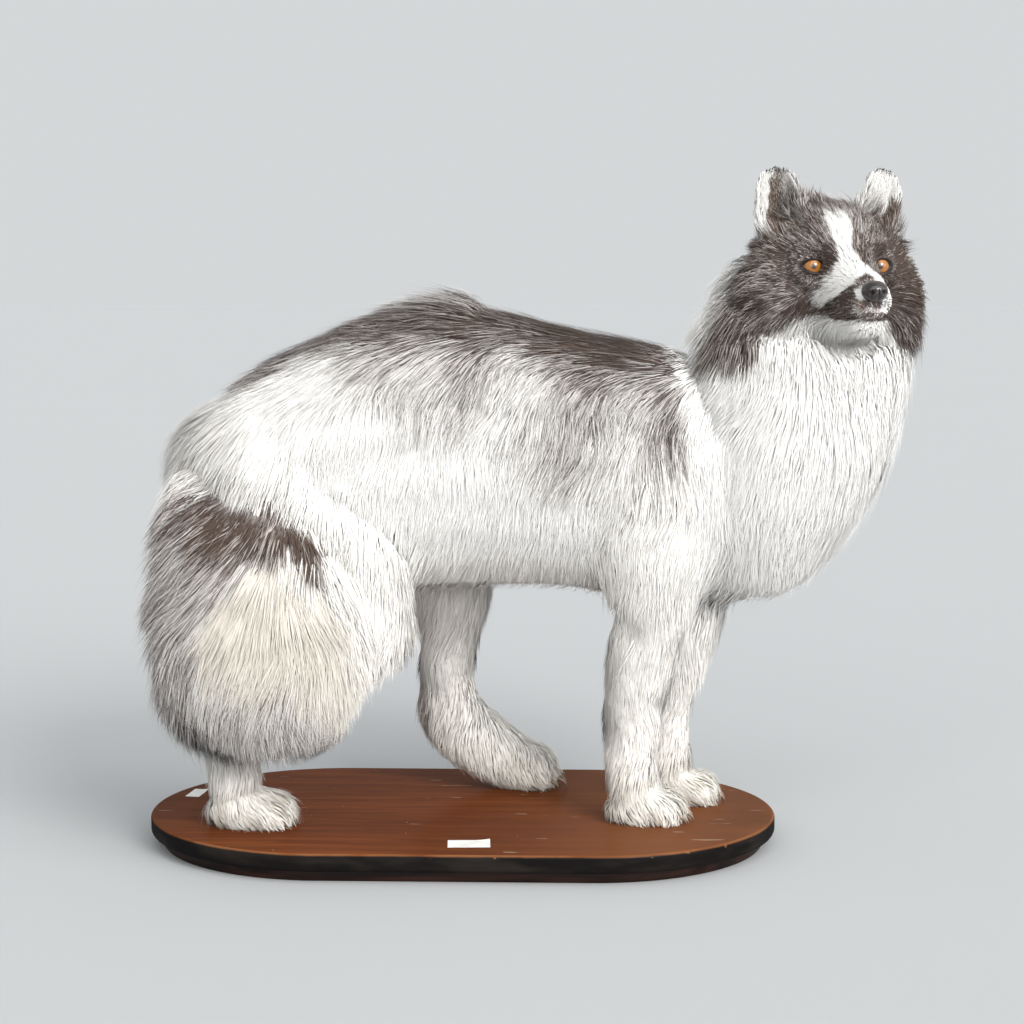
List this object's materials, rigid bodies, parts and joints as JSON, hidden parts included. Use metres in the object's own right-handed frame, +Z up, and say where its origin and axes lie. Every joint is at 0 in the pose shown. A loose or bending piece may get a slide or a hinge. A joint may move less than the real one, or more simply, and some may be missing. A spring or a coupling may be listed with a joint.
{
  "type": "taxidermy fox",
  "caption": "Mounted marble fox standing with its head turned to its right and its tail brought round, on an oval wooden base with a stepped, rounded edge.",
  "frame": {"origin": "centre of the flat underside of the base", "axes": "+X along the base, the way the fox's body faces; +Y towards the fox's left side; +Z up"},
  "size_m": [0.6874, 0.33, 0.6],
  "materials": {
    "varnished_wood": "warm brown satin varnish over plain-sawn grain, scratched, with a black-painted rounded edge",
    "dark_wood": "dark reddish brown stain, satin",
    "eye_glass": "amber glass taxidermy eye with a dark pupil, polished",
    "nose_leather": "pebbled black-brown nose, glossy",
    "coat_pale": "long dense white to cream fur",
    "coat_grizzled": "dark grey-brown fur with white-tipped guard hairs",
    "skin": "matt hide with short flat fur",
    "claw_horn": "brown horn, satin",
    "whisker_hair": "stiff dark bristle",
    "label_paper": "plain white paper label, blank"
  },
  "bodies": {
    "root": {"base_plinth": "dark_wood", "base_board": "varnished_wood", "eye_right": "eye_glass", "eye_left": "eye_glass", "nose": "nose_leather", "ear_right": "coat_pale", "ear_left": "coat_pale", "head": "coat_grizzled", "foreleg_right": "coat_pale", "foreleg_left": "coat_pale", "hindleg_right": "coat_pale", "hindleg_left": "coat_pale", "tail": "coat_pale", "neck": "coat_pale", "trunk": "coat_pale"}
  },
  "joints": []
}
